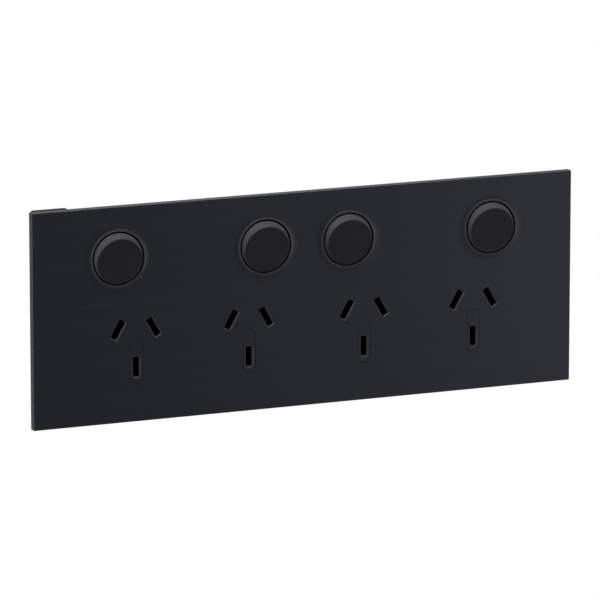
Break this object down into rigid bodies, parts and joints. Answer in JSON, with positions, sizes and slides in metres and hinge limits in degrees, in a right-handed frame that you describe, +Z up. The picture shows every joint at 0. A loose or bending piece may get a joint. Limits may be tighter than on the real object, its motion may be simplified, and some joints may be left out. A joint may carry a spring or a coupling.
{
  "type": "switched power outlet",
  "caption": "Wall power outlet: a row of three-slot sockets, each with a round rocker switch above it, behind one brushed dark metal cover plate.",
  "frame": {"origin": "on the wall plane, behind the centre of the cover plate and midway between the two mounting screw holes", "axes": "+X to the right and +Z up as seen from the room, +Y into the wall"},
  "size_m": [0.2146, 0.0326, 0.08],
  "materials": {
    "cover_plate": "dark anodised, brushed along its length",
    "button_plastic": "dark grey, fine satin",
    "insert_plastic": "dark grey to match the plate",
    "base_plastic": "black moulding",
    "housing_plastic": "black moulding, light texture",
    "inner_plastic": "natural nylon",
    "bar_brass": "pressed strip",
    "arm_bronze": "spring bronze with a silver pip",
    "screw_steel": "zinc plated",
    "spring_steel": "bright wire"
  },
  "bodies": {
    "outlet": {"cover_plate": "cover_plate", "cover_clips": "inner_plastic", "base_plate": "base_plastic", "rear_housing": "housing_plastic", "housing_screws": "screw_steel", "active_bar": "bar_brass", "neutral_bar": "bar_brass", "earth_bar": "bar_brass", "active_terminal": "bar_brass", "neutral_terminal": "bar_brass", "earth_terminal": "bar_brass", "terminal_screws": "screw_steel", "earth_insert_1": "insert_plastic", "earth_insert_2": "insert_plastic", "earth_insert_3": "insert_plastic", "earth_insert_4": "insert_plastic", "active_contact_1": "bar_brass", "active_contact_2": "bar_brass", "active_contact_3": "bar_brass", "active_contact_4": "bar_brass"},
    "rocker_1": {"rocker_1": "button_plastic", "plunger_spring_1": "spring_steel"},
    "plunger_1": {"plunger_1": "inner_plastic"},
    "contact_arm_1": {"contact_arm_1": "arm_bronze"},
    "rocker_2": {"rocker_2": "button_plastic", "plunger_spring_2": "spring_steel"},
    "plunger_2": {"plunger_2": "inner_plastic"},
    "contact_arm_2": {"contact_arm_2": "arm_bronze"},
    "rocker_3": {"rocker_3": "button_plastic", "plunger_spring_3": "spring_steel"},
    "plunger_3": {"plunger_3": "inner_plastic"},
    "contact_arm_3": {"contact_arm_3": "arm_bronze"},
    "rocker_4": {"rocker_4": "button_plastic", "plunger_spring_4": "spring_steel"},
    "plunger_4": {"plunger_4": "inner_plastic"},
    "contact_arm_4": {"contact_arm_4": "arm_bronze"}
  },
  "joints": [
    {"name": "switch_1", "type": "hinge", "parent": "outlet", "child": "rocker_1", "pos_m": [-0.0741, 0.00068, 0.0209], "axis": [1, 0, 0], "range_deg": [-21, 0]},
    {"name": "contact_1", "type": "hinge", "parent": "outlet", "child": "contact_arm_1", "pos_m": [-0.0741, 0.01375, 0.0209], "axis": [1, 0, 0], "range_deg": [0, 16]},
    {"name": "plunger_1_slide", "type": "slide", "parent": "rocker_1", "child": "plunger_1", "axis": [0, -0.9833, -0.1822], "range_m": [0, 0.0006], "stiffness_N_per_m": 150, "deforming": ["plunger_spring_1"]},
    {"name": "switch_2", "type": "hinge", "parent": "outlet", "child": "rocker_2", "pos_m": [-0.01645, 0.00068, 0.0209], "axis": [1, 0, 0], "range_deg": [-21, 0]},
    {"name": "contact_2", "type": "hinge", "parent": "outlet", "child": "contact_arm_2", "pos_m": [-0.01645, 0.01375, 0.0209], "axis": [1, 0, 0], "range_deg": [0, 16]},
    {"name": "plunger_2_slide", "type": "slide", "parent": "rocker_2", "child": "plunger_2", "axis": [0, -0.9833, -0.1822], "range_m": [0, 0.0006], "stiffness_N_per_m": 150, "deforming": ["plunger_spring_2"]},
    {"name": "switch_3", "type": "hinge", "parent": "outlet", "child": "rocker_3", "pos_m": [0.01645, 0.00068, 0.0209], "axis": [1, 0, 0], "range_deg": [-21, 0]},
    {"name": "contact_3", "type": "hinge", "parent": "outlet", "child": "contact_arm_3", "pos_m": [0.01645, 0.01375, 0.0209], "axis": [1, 0, 0], "range_deg": [0, 16]},
    {"name": "plunger_3_slide", "type": "slide", "parent": "rocker_3", "child": "plunger_3", "axis": [0, -0.9833, -0.1822], "range_m": [0, 0.0006], "stiffness_N_per_m": 150, "deforming": ["plunger_spring_3"]},
    {"name": "switch_4", "type": "hinge", "parent": "outlet", "child": "rocker_4", "pos_m": [0.0741, 0.00068, 0.0209], "axis": [1, 0, 0], "range_deg": [-21, 0]},
    {"name": "contact_4", "type": "hinge", "parent": "outlet", "child": "contact_arm_4", "pos_m": [0.0741, 0.01375, 0.0209], "axis": [1, 0, 0], "range_deg": [0, 16]},
    {"name": "plunger_4_slide", "type": "slide", "parent": "rocker_4", "child": "plunger_4", "axis": [0, -0.9833, -0.1822], "range_m": [0, 0.0006], "stiffness_N_per_m": 150, "deforming": ["plunger_spring_4"]}
  ],
  "couplings": [
    {"joint": "contact_1", "follows": "switch_1", "ratio": -0.76191},
    {"joint": "contact_2", "follows": "switch_2", "ratio": -0.76191},
    {"joint": "contact_3", "follows": "switch_3", "ratio": -0.76191},
    {"joint": "contact_4", "follows": "switch_4", "ratio": -0.76191}
  ]
}
